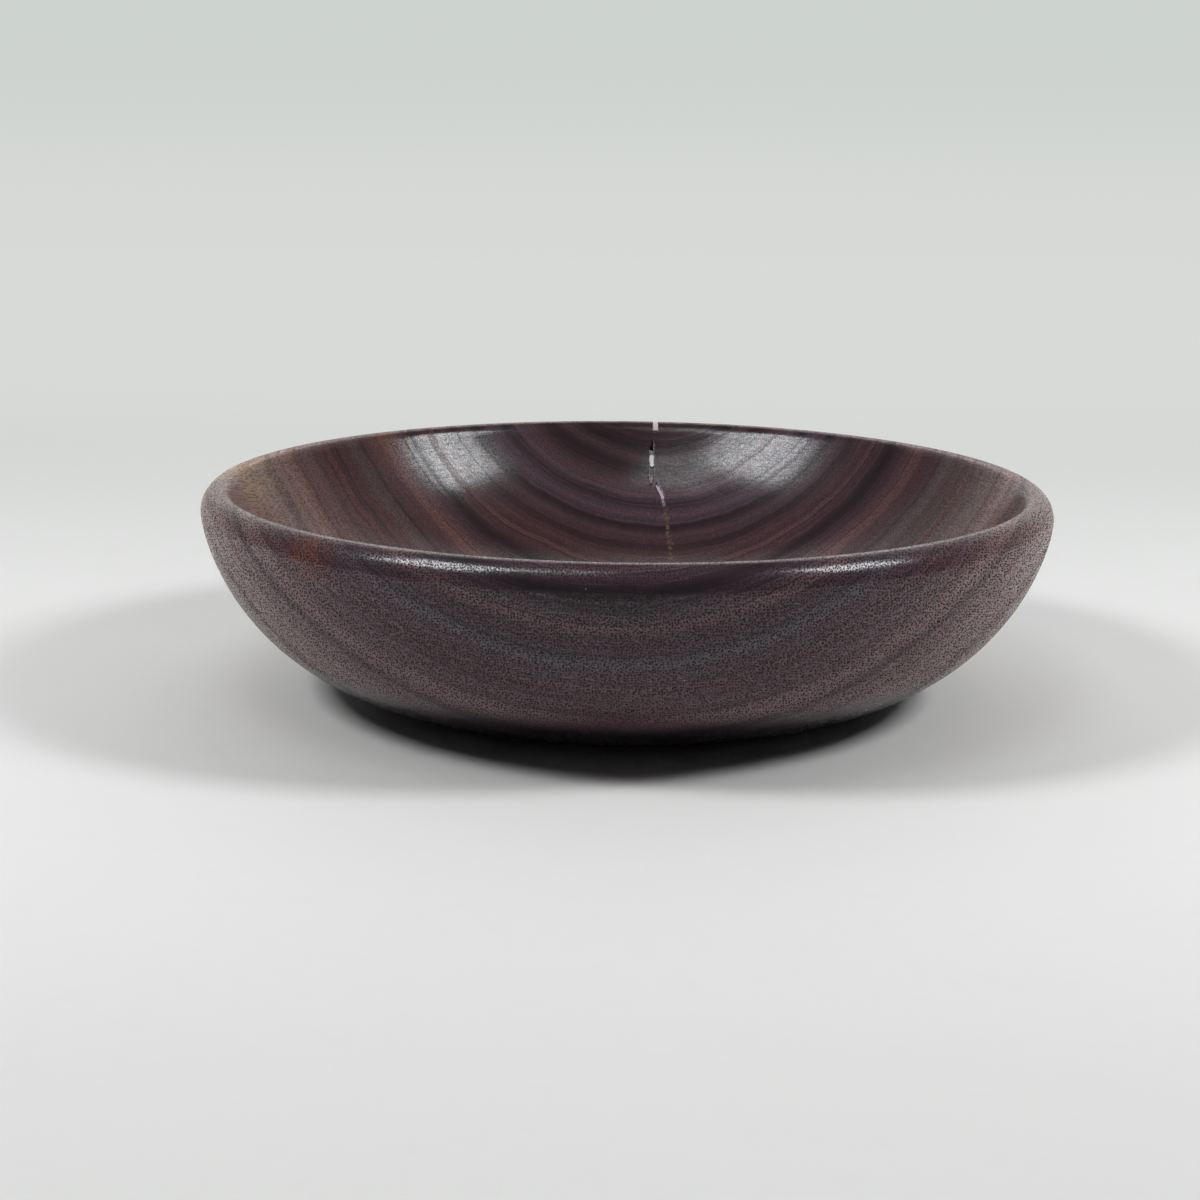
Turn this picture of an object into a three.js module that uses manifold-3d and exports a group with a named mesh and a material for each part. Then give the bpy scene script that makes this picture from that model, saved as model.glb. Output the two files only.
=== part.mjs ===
// A turned wooden candy dish: a bowl cut from one blank of dark wood, with a drying crack in its far wall
// that holds slivers of pale filler. Millimetres, +Z up, origin at the middle of the ring it stands on.
import * as THREE from 'three';
import { mergeVertices } from 'three/addons/utils/BufferGeometryUtils.js';
import Module from 'manifold-3d';

const wasm = await Module();
wasm.setup();

// Outside of the bowl
const DISH_DIAMETER = 180; // at the widest ring, just under the rim
const DISH_HEIGHT = 44.5; // from the table to the crest of the rim
const FOOT_DIAMETER = 100; // where the outer wall lifts off the table
const FOOT_RISE_DEG = 12.2; // slope of the wall as it lifts off
const FOOT_FULLNESS = 0.85; // pull of the curve at the foot, as a share of its run to the widest ring
const BELLY_FULLNESS = 0.126; // pull of the curve at the widest ring, as a share of its rise from the foot

// Underside, a flat ring round a shallow turned recess
const FOOT_RING_WIDTH = 11;
const RECESS_DEPTH = 1.5;
const RECESS_CHAMFER = 1.2;

// Rim, a soft round over a tighter inner edge
const RIM_DROP = 4.8; // from the crest down to the widest ring
const CREST_INSET = 3.8; // from the widest ring in to the crest
const RIM_SIDE_FULLNESS = 0.57;
const RIM_TOP_FULLNESS = 0.44;
const RIM_WIDTH = 7; // from the widest ring in to the head of the inner wall
const LIP_DROP = 3; // from the crest down to the head of the inner wall
const LIP_TOP_FULLNESS = 0.59;
const LIP_WALL_FULLNESS = 0.53;

// Inside of the bowl, one sweep from the lip to the middle of the floor
const FLOOR_THICKNESS = 8; // at the middle, from the table
const WALL_SLOPE_DEG = 64; // slope of the inner wall at its head
const WALL_FULLNESS = 0.776;
const FLOOR_FULLNESS = 0.65;

// Drying crack in the far wall: stretches of one split along the grain, each from its top to its bottom.
// x is sideways from the dish's axis, and drop is the height below the crest of the rim.
const CRACK_DEPTH = 2.5; // into the wall, along the grain
const FILL_GAP = 0.3; // between the filler and the sides and back of the crack
const RIM_CRACK = { x: 6.9, drop: 1.35, width: 1.1 };
const UPPER_CRACK = { top: { x: 6.3, drop: 4.7 }, bottom: { x: 5.95, drop: 13.4 }, width: 1.1 };
const LOWER_CRACK = { top: { x: 7.7, drop: 14.9 }, bottom: { x: 9.25, drop: 18.4 }, width: 0.9 };
const UPPER_FILL = { start: 3.5, end: 5 }; // spans along the upper stretch, from its top
const MIDDLE_FILL = { start: 6.6, end: 8.6 };

// Fineness of the facets
const TURN_STEPS = 96;
const OUTER_STEPS = 12;
const RIM_STEPS = 6;
const LIP_STEPS = 5;
const INNER_STEPS = 14;
const CRACK_END_STEPS = 5;
const MERGE_DISTANCE = 1e-4;

const dishRadius = DISH_DIAMETER / 2;
const footRadius = FOOT_DIAMETER / 2;
const recessRadius = footRadius - FOOT_RING_WIDTH;

// A closed geometry as a solid that can be joined and cut.
function toSolid(geometry) {
  geometry.deleteAttribute('normal');
  geometry.deleteAttribute('uv');
  const merged = mergeVertices(geometry, MERGE_DISTANCE);
  const corners = merged.index.array;
  const triVerts = [];
  for (let i = 0; i < corners.length; i += 3) {
    const triangle = [corners[i], corners[i + 1], corners[i + 2]];
    if (new Set(triangle).size === 3) triVerts.push(...triangle);
  }
  return new wasm.Manifold(new wasm.Mesh({
    numProp: 3,
    vertProperties: merged.attributes.position.array,
    triVerts: new Uint32Array(triVerts),
  }));
}

// A solid as a named mesh with its own finish.
function toMesh(name, solid, finish) {
  const { vertProperties, triVerts } = solid.getMesh();
  const geometry = new THREE.BufferGeometry();
  geometry.setAttribute('position', new THREE.BufferAttribute(vertProperties, 3));
  geometry.setIndex(new THREE.BufferAttribute(triVerts, 1));
  geometry.computeVertexNormals();
  const mesh = new THREE.Mesh(geometry, new THREE.MeshStandardMaterial(finish));
  mesh.name = name;
  return mesh;
}

// A profile of radius and height, turned about the dish's upright axis.
function turned(profile) {
  const lathe = new THREE.LatheGeometry(profile, TURN_STEPS);
  lathe.rotateX(Math.PI / 2);
  return toSolid(lathe);
}

// Points along a curve that leaves its start by one pull and reaches its end against another.
function sweep(start, startPull, end, endPull, steps) {
  const leaving = start.clone().add(startPull);
  const arriving = end.clone().add(endPull);
  return new THREE.CubicBezierCurve(start, leaving, arriving, end).getPoints(steps);
}

// A direction in the profile's plane, with a length.
function pull(length, degrees) {
  const angle = THREE.MathUtils.degToRad(degrees);
  return new THREE.Vector2(length * Math.cos(angle), length * Math.sin(angle));
}

// The stretches of the profile, from the foot over the rim to the middle of the floor.
function profileStretches() {
  const foot = new THREE.Vector2(footRadius, 0);
  const widest = new THREE.Vector2(dishRadius, DISH_HEIGHT - RIM_DROP);
  const crest = new THREE.Vector2(dishRadius - CREST_INSET, DISH_HEIGHT);
  const lip = new THREE.Vector2(dishRadius - RIM_WIDTH, DISH_HEIGHT - LIP_DROP);
  const floor = new THREE.Vector2(0, FLOOR_THICKNESS);

  const footPull = pull(FOOT_FULLNESS * (widest.x - foot.x), FOOT_RISE_DEG);
  const bellyPull = pull(BELLY_FULLNESS * (widest.y - foot.y), -90);
  const rimSidePull = pull(RIM_SIDE_FULLNESS * RIM_DROP, 90);
  const rimTopPull = pull(RIM_TOP_FULLNESS * CREST_INSET, 0);
  const lipTopPull = pull(LIP_TOP_FULLNESS * (RIM_WIDTH - CREST_INSET), 180);
  const lipWallPull = pull(LIP_WALL_FULLNESS * LIP_DROP, WALL_SLOPE_DEG);
  const wallPull = pull(WALL_FULLNESS * (lip.y - floor.y), WALL_SLOPE_DEG + 180);
  const floorPull = pull(FLOOR_FULLNESS * lip.x, 0);

  return {
    outer: sweep(foot, footPull, widest, bellyPull, OUTER_STEPS),
    rim: sweep(widest, rimSidePull, crest, rimTopPull, RIM_STEPS),
    lip: sweep(crest, lipTopPull, lip, lipWallPull, LIP_STEPS),
    inner: sweep(lip, wallPull, floor, floorPull, INNER_STEPS),
  };
}

// The bowl before the wood split: underside, outer wall, rim, lip and inside in one closed profile.
function turnedBlank({ outer, rim, lip, inner }) {
  const underside = [
    new THREE.Vector2(0, RECESS_DEPTH),
    new THREE.Vector2(recessRadius - RECESS_CHAMFER, RECESS_DEPTH),
    new THREE.Vector2(recessRadius, 0),
  ];
  const floor = new THREE.Vector2(0, FLOOR_THICKNESS);
  const wall = [...outer, ...rim.slice(1), ...lip.slice(1), ...inner.slice(1, -1)];
  return turned([...underside, ...wall, floor]);
}

// The hollow of the bowl, widened by a depth: what a crack of that depth can reach from inside.
function crackReach({ inner }, depth) {
  const rising = inner.slice().reverse();
  const widened = rising.map((point) => new THREE.Vector2(point.x + depth, point.y));
  const top = DISH_HEIGHT + depth;
  return turned([
    new THREE.Vector2(0, FLOOR_THICKNESS),
    ...widened,
    new THREE.Vector2(widened.at(-1).x, top),
    new THREE.Vector2(0, top),
  ]);
}

// A round-ended slot seen from the front, run back along the grain from the dish's axis through the far wall.
function slot(top, bottom, width) {
  const radius = width / 2;
  const slant = Math.atan2(top.drop - bottom.drop, bottom.x - top.x);
  const outline = new THREE.Shape();
  outline.absarc(bottom.x, -bottom.drop, radius, slant - Math.PI / 2, slant + Math.PI / 2);
  outline.absarc(top.x, -top.drop, radius, slant + Math.PI / 2, slant + Math.PI * 1.5);
  const length = dishRadius + width;
  const prism = new THREE.ExtrudeGeometry(outline, {
    depth: length,
    bevelEnabled: false,
    curveSegments: CRACK_END_STEPS,
  });
  prism.rotateX(Math.PI / 2);
  prism.translate(0, length, DISH_HEIGHT);
  return toSolid(prism);
}

// The part of a stretch of crack between two distances from its top.
function spanOf({ top, bottom }, { start, end }) {
  const length = Math.hypot(bottom.x - top.x, bottom.drop - top.drop);
  const at = (distance) => ({
    x: THREE.MathUtils.lerp(top.x, bottom.x, distance / length),
    drop: THREE.MathUtils.lerp(top.drop, bottom.drop, distance / length),
  });
  return [at(start), at(end)];
}

const WOOD = { color: 0x40302f, roughness: 0.42, metalness: 0 };
const PALE_FILLER = { color: 0xc9c2c8, roughness: 0.6, metalness: 0 };

const stretches = profileStretches();
const blank = turnedBlank(stretches);
const fillReach = crackReach(stretches, CRACK_DEPTH);
const pocketReach = crackReach(stretches, CRACK_DEPTH + FILL_GAP);
const pocketWidth = ({ width }) => width + 2 * FILL_GAP;

// The crack crosses the whole crest of the rim, so its head runs up past the crest.
const rimBottom = { x: RIM_CRACK.x, drop: RIM_CRACK.drop };
const rimTop = { x: RIM_CRACK.x, drop: -RIM_CRACK.drop };

const pockets = [
  slot(rimTop, rimBottom, pocketWidth(RIM_CRACK)),
  slot(UPPER_CRACK.top, UPPER_CRACK.bottom, pocketWidth(UPPER_CRACK)).intersect(pocketReach),
  slot(LOWER_CRACK.top, LOWER_CRACK.bottom, pocketWidth(LOWER_CRACK)).intersect(pocketReach),
];
const fills = {
  crack_fill_rim: slot(rimTop, rimBottom, RIM_CRACK.width),
  crack_fill_upper: slot(...spanOf(UPPER_CRACK, UPPER_FILL), UPPER_CRACK.width).intersect(fillReach),
  crack_fill_middle: slot(...spanOf(UPPER_CRACK, MIDDLE_FILL), UPPER_CRACK.width).intersect(fillReach),
  crack_fill_lower: slot(LOWER_CRACK.top, LOWER_CRACK.bottom, LOWER_CRACK.width).intersect(fillReach),
};

const candyDish = new THREE.Group();
const bowl = pockets.reduce((wood, pocket) => wood.subtract(pocket), blank);
candyDish.add(toMesh('bowl', bowl, WOOD));
for (const [name, fill] of Object.entries(fills)) {
  candyDish.add(toMesh(name, fill.intersect(blank), PALE_FILLER));
}

export default candyDish;
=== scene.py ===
"""A turned wooden candy dish: dark figured wood, a drying crack with pale filler, and a plain studio."""

import logging
import math
from dataclasses import dataclass, field
from enum import Enum

import bpy
import numpy as np
from mathutils import Matrix, Vector


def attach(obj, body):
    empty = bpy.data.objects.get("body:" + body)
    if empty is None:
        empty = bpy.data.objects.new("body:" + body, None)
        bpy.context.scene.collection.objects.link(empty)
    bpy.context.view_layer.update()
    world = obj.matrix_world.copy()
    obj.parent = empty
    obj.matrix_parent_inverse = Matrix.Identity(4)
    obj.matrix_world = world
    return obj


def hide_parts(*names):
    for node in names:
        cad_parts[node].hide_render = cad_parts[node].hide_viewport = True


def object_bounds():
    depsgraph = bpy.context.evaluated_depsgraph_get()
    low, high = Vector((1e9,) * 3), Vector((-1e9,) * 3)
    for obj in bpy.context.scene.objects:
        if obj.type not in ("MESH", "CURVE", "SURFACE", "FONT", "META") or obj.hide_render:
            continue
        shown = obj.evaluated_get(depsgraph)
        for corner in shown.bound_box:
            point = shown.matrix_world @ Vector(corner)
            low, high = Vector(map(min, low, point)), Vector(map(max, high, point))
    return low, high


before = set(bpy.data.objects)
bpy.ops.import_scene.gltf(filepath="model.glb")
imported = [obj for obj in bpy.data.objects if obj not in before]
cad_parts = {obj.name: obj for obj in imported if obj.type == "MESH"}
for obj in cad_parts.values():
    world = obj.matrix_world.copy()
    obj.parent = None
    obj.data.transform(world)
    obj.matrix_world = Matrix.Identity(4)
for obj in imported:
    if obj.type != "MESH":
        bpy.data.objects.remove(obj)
CAD_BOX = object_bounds()

LOG = logging.getLogger("candy_dish")
BODY = "root"
MILLIMETRE = 0.001
KNOTS = 512
BLACK = (0.0, 0.0, 0.0)

Socket = bpy.types.NodeSocket
Feed = Socket | float | int | tuple | Vector
Colour = tuple[float, float, float]


def mm(value: float) -> float:
    """A length in millimetres, as metres."""
    return value * MILLIMETRE


def opaque(colour: Colour) -> tuple[float, float, float, float]:
    """A linear colour with full alpha, as a colour socket takes it."""
    return (*colour, 1.0)


@dataclass(frozen=True)
class Fade:
    """A smooth change of one value over another, held past its ends."""

    start: Feed
    end: Feed
    at_start: float = 0.0
    at_end: float = 1.0


@dataclass(frozen=True)
class Noise:
    """Cloudy values from 0 to 1: how finely they vary, in all or along each axis, and how they break up."""

    scale: float | tuple[float, float, float]
    detail: float = 2.0
    rough: float = 0.5


class NodeBench:
    """Sets out the nodes of one tree and joins them."""

    BUMP = 0.5
    COLUMN = 190.0
    ROW = 170.0
    ROWS = 5

    def __init__(self, tree: bpy.types.NodeTree) -> None:
        """Starts with the tree as it is."""
        self.tree = tree
        self.placed = 0

    def node(self, kind: str, feeds: dict | None = None, **settings: object) -> bpy.types.Node:
        """Adds one node.

        Args:
            kind: The type of node, by its identifier.
            feeds: What goes into its inputs, by the input's name or number.
            settings: The node's own properties.

        Returns:
            The node that was added.
        """
        node = self.tree.nodes.new(kind)
        node.location = (self.placed // self.ROWS * self.COLUMN, -(self.placed % self.ROWS) * self.ROW)
        self.placed += 1
        for name, value in settings.items():
            setattr(node, name, value)
        for key, value in (feeds or {}).items():
            self.feed(node.inputs[key], value)
        return node

    def feed(self, socket: Socket, value: Feed) -> None:
        """Links a socket to an input, or sets the input to a plain value."""
        if isinstance(value, Socket):
            self.tree.links.new(value, socket)
        else:
            socket.default_value = value

    def math(self, operation: str, *values: Feed, clamp: bool = False) -> Socket:
        """The result of one sum on numbers."""
        feeds = dict(enumerate(values))
        return self.node("ShaderNodeMath", feeds, operation=operation, use_clamp=clamp).outputs[0]

    def vector_math(self, operation: str, *values: Feed) -> Socket:
        """The vector that one sum on vectors gives."""
        feeds = dict(enumerate(values))
        return self.node("ShaderNodeVectorMath", feeds, operation=operation).outputs[0]

    def times(self, first: Feed, second: Feed) -> Socket:
        """The product of two numbers."""
        return self.math("MULTIPLY", first, second)

    def line(self, value: Feed, slope: float, start: float) -> Socket:
        """A number multiplied by a slope and added to a start."""
        return self.math("MULTIPLY_ADD", value, slope, start)

    def length(self, vector: Socket) -> Socket:
        """The length of a vector."""
        return self.node("ShaderNodeVectorMath", {0: vector}, operation="LENGTH").outputs["Value"]

    def here(self) -> Socket:
        """The place on the piece, in its own coordinates."""
        return self.node("ShaderNodeTexCoord").outputs["Object"]

    def mark(self, name: str) -> Socket:
        """The value that the mesh holds under a name."""
        return self.node("ShaderNodeAttribute", attribute_name=name).outputs["Fac"]

    def parts(self, vector: Socket) -> bpy.types.NodeOutputs:
        """A vector's X, Y and Z."""
        return self.node("ShaderNodeSeparateXYZ", {0: vector}).outputs

    def join(self, *values: Feed) -> Socket:
        """The vector with the given X, Y and Z."""
        return self.node("ShaderNodeCombineXYZ", dict(enumerate(values))).outputs[0]

    def fade(self, value: Feed, fade: Fade) -> Socket:
        """What a fade gives at a value."""
        feeds = {0: value, 1: fade.start, 2: fade.end, 3: fade.at_start, 4: fade.at_end}
        return self.node("ShaderNodeMapRange", feeds, interpolation_type="SMOOTHSTEP").outputs[0]

    def mix(self, share: Feed, first: Feed, second: Feed, blend: str = "MIX") -> Socket:
        """Two colours mixed by a share."""
        feeds = {0: share, 6: first, 7: second}
        return self.node("ShaderNodeMix", feeds, data_type="RGBA", blend_type=blend).outputs[2]

    def noise(self, place: Socket, kind: Noise) -> Socket:
        """Noise at a place in space.

        Args:
            place: The place, as a vector.
            kind: How fine and how broken the noise is.

        Returns:
            The noise, from 0 to 1.
        """
        scale = kind.scale
        if isinstance(scale, tuple):
            place = self.vector_math("MULTIPLY", place, scale)
            scale = 1.0
        feeds = {"Vector": place, "Scale": scale, "Detail": kind.detail, "Roughness": kind.rough}
        return self.node("ShaderNodeTexNoise", feeds, noise_dimensions="3D").outputs[0]

    def line_noise(self, along: Socket, kind: Noise) -> Socket:
        """Noise that changes along one number only."""
        feeds = {"W": along, "Scale": kind.scale, "Detail": kind.detail, "Roughness": kind.rough}
        return self.node("ShaderNodeTexNoise", feeds, noise_dimensions="1D").outputs[0]

    def bump(self, height: Socket, reach: float) -> Socket:
        """The surface's normal, tilted by heights of a given reach."""
        feeds = {"Strength": self.BUMP, "Distance": reach, "Height": height}
        return self.node("ShaderNodeBump", feeds).outputs[0]

    def surface(self, feeds: dict) -> None:
        """Ends a material's tree in one surface."""
        shader = self.node("ShaderNodeBsdfPrincipled", feeds)
        self.node("ShaderNodeOutputMaterial", {"Surface": shader.outputs[0]})


def new_material(name: str) -> tuple[bpy.types.Material, NodeBench]:
    """Makes an empty material with nodes.

    Args:
        name: The name that it gets.

    Returns:
        The material, and the bench for its nodes.
    """
    material = bpy.data.materials.new(name)
    material.use_nodes = True
    material.node_tree.nodes.clear()
    return material, NodeBench(material.node_tree)


def add_ports(tree: bpy.types.NodeTree, way: str, ports: dict[str, str]) -> None:
    """Names the inputs or outputs of a node tree.

    Args:
        tree: The tree that gets them.
        way: INPUT or OUTPUT.
        ports: Each socket's name, and the identifier of its type.
    """
    for name, kind in ports.items():
        tree.interface.new_socket(name=name, in_out=way, socket_type=kind)


def place_piece(name: str, mesh: bpy.types.Mesh) -> bpy.types.Object:
    """A mesh as an object at the origin, in the scene.

    Args:
        name: The name that it gets.
        mesh: Its mesh.

    Returns:
        The object.
    """
    mesh.name = name
    piece = bpy.data.objects.new(name, mesh)
    bpy.context.scene.collection.objects.link(piece)
    return piece


def smoothstep(values: np.ndarray) -> np.ndarray:
    """Values from 0 to 1 with soft ends."""
    held = np.clip(values, 0.0, 1.0)
    return held * held * (3.0 - 2.0 * held)


def ragged(along: np.ndarray, pitch: float, seed: int) -> np.ndarray:
    """A wandering value between -1 and 1 along a line.

    Args:
        along: Places along the line.
        pitch: The distance between the bends.
        seed: Fixes which way it wanders.

    Returns:
        One value for each place.
    """
    steps = np.asarray(along) / pitch
    knots = np.random.default_rng(seed).uniform(-1.0, 1.0, KNOTS)
    low = np.floor(steps).astype(int)
    share = smoothstep(steps - low)
    return knots[low % KNOTS] * (1.0 - share) + knots[(low + 1) % KNOTS] * share


class Stretch(Enum):
    """The stretches of the dish's section, each with the steps that it is drawn in."""

    OUTER = ("outer wall", 56)
    RIM = ("rim", 28)
    LIP = ("lip", 16)
    INNER = ("inner wall", 100)

    @property
    def steps(self) -> int:
        """The number of steps along the stretch."""
        return self.value[1]


@dataclass(frozen=True)
class DishSection:
    """The section of the dish on one side of its axis, as radius and height."""

    diameter: float = CAD_BOX[1].x - CAD_BOX[0].x
    height: float = CAD_BOX[1].z - CAD_BOX[0].z
    foot_diameter: float = mm(100)
    foot_rise: float = math.radians(12.2)
    foot_fullness: float = 0.85
    belly_fullness: float = 0.126
    foot_ring_width: float = mm(11)
    recess_depth: float = mm(1.5)
    recess_chamfer: float = mm(1.2)
    edge_round: float = mm(0.4)
    edge_steps: int = 4
    rim_drop: float = mm(4.8)
    crest_inset: float = mm(3.8)
    rim_side_fullness: float = 0.57
    rim_top_fullness: float = 0.44
    rim_width: float = mm(7)
    lip_drop: float = mm(3)
    lip_top_fullness: float = 0.59
    lip_wall_fullness: float = 0.53
    floor_thickness: float = mm(8)
    wall_slope: float = math.radians(64)
    wall_fullness: float = 0.776
    floor_fullness: float = 0.65
    wall_grading: float = 1.5  # crowds the steps of the inner wall towards the lip

    @property
    def crest(self) -> np.ndarray:
        """The top of the rim."""
        return np.array((self.diameter / 2 - self.crest_inset, self.height))

    def stretch(self, which: Stretch) -> np.ndarray:
        """Points along one stretch of the section, from its foot end to its floor end.

        Args:
            which: The stretch to draw.

        Returns:
            Rows of radius and height.
        """
        foot = np.array((self.foot_diameter / 2, 0.0))
        widest = np.array((self.diameter / 2, self.height - self.rim_drop))
        lip = np.array((self.diameter / 2 - self.rim_width, self.height - self.lip_drop))
        floor = np.array((0.0, self.floor_thickness))
        rise = np.array((math.cos(self.foot_rise), math.sin(self.foot_rise)))
        slope = np.array((math.cos(self.wall_slope), math.sin(self.wall_slope)))
        out = np.array((1.0, 0.0))
        up = np.array((0.0, 1.0))
        ends = {
            Stretch.OUTER: (
                foot,
                foot + rise * self.foot_fullness * (widest[0] - foot[0]),
                widest - up * self.belly_fullness * (widest[1] - foot[1]),
                widest,
            ),
            Stretch.RIM: (
                widest,
                widest + up * self.rim_side_fullness * self.rim_drop,
                self.crest + out * self.rim_top_fullness * self.crest_inset,
                self.crest,
            ),
            Stretch.LIP: (
                self.crest,
                self.crest - out * self.lip_top_fullness * (self.rim_width - self.crest_inset),
                lip + slope * self.lip_wall_fullness * self.lip_drop,
                lip,
            ),
            Stretch.INNER: (
                lip,
                lip - slope * self.wall_fullness * (lip[1] - floor[1]),
                floor + out * self.floor_fullness * lip[0],
                floor,
            ),
        }
        start, leaving, arriving, end = ends[which]
        share = np.linspace(0.0, 1.0, which.steps + 1)[:, None]
        if which is Stretch.INNER:
            share = share**self.wall_grading
        left = 1.0 - share
        curve = left**3 * start + 3 * left**2 * share * leaving + 3 * left * share**2 * arriving
        return curve + share**3 * end

    def underside(self) -> np.ndarray:
        """Points from the middle of the recess to the foot, with the recess's edges eased.

        Returns:
            Rows of radius and height.
        """
        recess = self.foot_diameter / 2 - self.foot_ring_width
        middle = np.array((0.0, self.recess_depth))
        head = np.array((recess - self.recess_chamfer, self.recess_depth))
        base = np.array((recess, 0.0))
        foot = np.array((self.foot_diameter / 2, 0.0))
        points = [middle]
        for previous, corner, following in ((middle, head, base), (head, base, foot)):
            entry = corner + (previous - corner) / np.linalg.norm(previous - corner) * self.edge_round
            leave = corner + (following - corner) / np.linalg.norm(following - corner) * self.edge_round
            for share in np.linspace(0.0, 1.0, self.edge_steps + 1):
                points.append((1 - share) ** 2 * entry + 2 * share * (1 - share) * corner + share**2 * leave)
        return np.array(points)

    def outline(self) -> np.ndarray:
        """The whole section, from the middle of the underside over the rim to the middle of the floor."""
        walls = [self.stretch(which) for which in Stretch]
        return np.vstack([self.underside(), walls[0], *(wall[1:] for wall in walls[1:])])

    def wall_radius(self, drop: np.ndarray) -> np.ndarray:
        """The inside radius at heights below the crest of the rim.

        Args:
            drop: Heights below the crest.

        Returns:
            The radius of the lip or inner wall at each.
        """
        wall = np.vstack([self.stretch(Stretch.LIP), self.stretch(Stretch.INNER)[1:]])
        return np.interp(drop, self.height - wall[:, 1], wall[:, 0])

    def crown(self, drop: float) -> np.ndarray:
        """Points over the rim, from the inside at a drop below the crest to the outside at the same drop."""
        over = np.vstack([self.stretch(Stretch.LIP)[::-1], self.stretch(Stretch.RIM)[::-1][1:]])
        return over[over[:, 1] >= self.height - drop]


@dataclass(frozen=True)
class CrackStrand:
    """One strand of the drying crack: where it runs, seen from the front, and how it opens.

    The line holds sideways places from the dish's axis, each with its drop below the crest of the rim.
    """

    line: tuple[tuple[float, float], ...]
    width: float
    depth: float
    seed: int
    unevenness: float = 0.22
    bend_pitch: float = mm(0.45)
    wander: float = mm(0.07)
    wander_stretch: float = 1.7
    edge: float = mm(0.16)
    end_taper: float = mm(0.5)
    # How dark the painted shade in the strand's opening is.
    painted_shade: float = 0.75
    head_share: float = 1.0
    head_length: float = mm(3.4)

    @property
    def top(self) -> float:
        """The drop at which the strand starts."""
        return self.line[0][1]

    @property
    def bottom(self) -> float:
        """The drop at which the strand ends."""
        return self.line[-1][1]

    def centre(self, drop: np.ndarray) -> np.ndarray:
        """The sideways place of the strand's middle at each drop.

        Args:
            drop: Drops below the crest of the rim.

        Returns:
            One place for each drop.
        """
        sideways, drops = np.array(self.line).T
        wander = self.wander * ragged(drop, self.bend_pitch * self.wander_stretch, self.seed)
        return np.interp(drop, drops, sideways) + wander

    def half_width(self, drop: np.ndarray) -> np.ndarray:
        """Half of the strand's uneven width at each drop, none past its ends.

        Args:
            drop: Drops below the crest of the rim.

        Returns:
            One half width for each drop.
        """
        uneven = 1.0 + self.unevenness * ragged(drop, self.bend_pitch, self.seed + 1)
        ends = np.minimum(drop - self.top, self.bottom - drop) / self.end_taper
        head = np.interp(drop, (self.top, self.top + self.head_length), (self.head_share, 1.0))
        return self.width / 2 * uneven * head * np.sqrt(np.clip(ends, 0.0, 1.0))

    def opening(self, sideways: np.ndarray, drop: np.ndarray) -> np.ndarray:
        """How far the strand is open at places on the wall, from 0 on sound wood to 1 in the strand.

        Args:
            sideways: Sideways places from the dish's axis.
            drop: Drops below the crest of the rim.

        Returns:
            One value for each place.
        """
        half = self.half_width(drop)
        reach = np.abs(sideways - self.centre(drop))
        return np.where(half > 0.0, smoothstep((half - reach) / self.edge + 0.5), 0.0)


@dataclass
class DryingCrack:
    """The split along the grain in the far wall: a notch in the rim, two open strands and a hairline tail."""

    section: DishSection
    rim: CrackStrand = CrackStrand(
        line=((mm(6.9), mm(-0.6)), (mm(6.9), mm(2.4))), width=mm(1.0), depth=mm(1.9), seed=3
    )
    upper: CrackStrand = CrackStrand(
        line=(
            (mm(6.3), mm(4.1)),
            (mm(6.3), mm(5.3)),
            (mm(5.96), mm(6.3)),
            (mm(6.1), mm(7.6)),
            (mm(6.13), mm(11.9)),
            (mm(5.9), mm(14.0)),
        ),
        width=mm(0.78),
        depth=mm(0.9),
        seed=5,
        end_taper=mm(1.6),
        painted_shade=0.5,
        head_share=0.1,
    )
    lower: CrackStrand = CrackStrand(
        line=((mm(7.1), mm(14.0)), (mm(8.6), mm(16.2)), (mm(9.3), mm(18.9))),
        width=mm(0.52),
        depth=mm(0.7),
        seed=7,
        painted_shade=0.3,
    )
    tail: CrackStrand = CrackStrand(
        line=((mm(9.3), mm(18.6)), (mm(9.8), mm(21.9)), (mm(10.65), mm(25.7)), (mm(10.75), mm(28.8))),
        width=mm(1.2),
        depth=mm(0.08),
        seed=9,
        unevenness=0.8,
        bend_pitch=mm(0.9),
    )

    def carve(self, mesh: bpy.types.Mesh) -> None:
        """Opens the crack in the bowl's mesh, and marks the painted shade of its opening, darker where it is
        more open, and where the tail runs.

        Args:
            mesh: The turned bowl, with its places along the section in the attribute "run".
        """
        count = len(mesh.vertices)
        flat = np.zeros(count * 3, np.float32)
        mesh.vertices.foreach_get("co", flat)
        place = flat.reshape(-1, 3).astype(float)
        run = np.zeros(count, np.float32)
        mesh.attributes["run"].data.foreach_get("value", run)

        drop = self.section.height - place[:, 2]
        far = place[:, 1] > 0.0
        inside = far & (run > 0.0)
        crown = far & (drop < self.rim.depth)
        notch = np.where(crown, self.rim.opening(place[:, 0], np.zeros(count)), 0.0)
        place[:, 2] -= notch * np.maximum(self.rim.depth - drop, 0.0)
        # Painted shade for the strands' openings and the rim's notch.
        gape = np.zeros(count)
        for strand in (self.upper, self.lower):
            opened = np.where(inside, strand.opening(place[:, 0], drop), 0.0)
            place[:, 1] += opened * strand.depth
            gape = np.maximum(gape, opened * strand.painted_shade)
        tail = np.where(inside, self.tail.opening(place[:, 0], drop), 0.0)
        place[:, 1] += tail * self.tail.depth

        mesh.vertices.foreach_set("co", place.astype(np.float32).ravel())
        for name, values in (("gape", np.maximum(gape, notch)), ("hairline", tail)):
            mark = mesh.attributes.new(name, "FLOAT", "POINT")
            mark.data.foreach_set("value", values.astype(np.float32))
        mesh.update()


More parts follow.
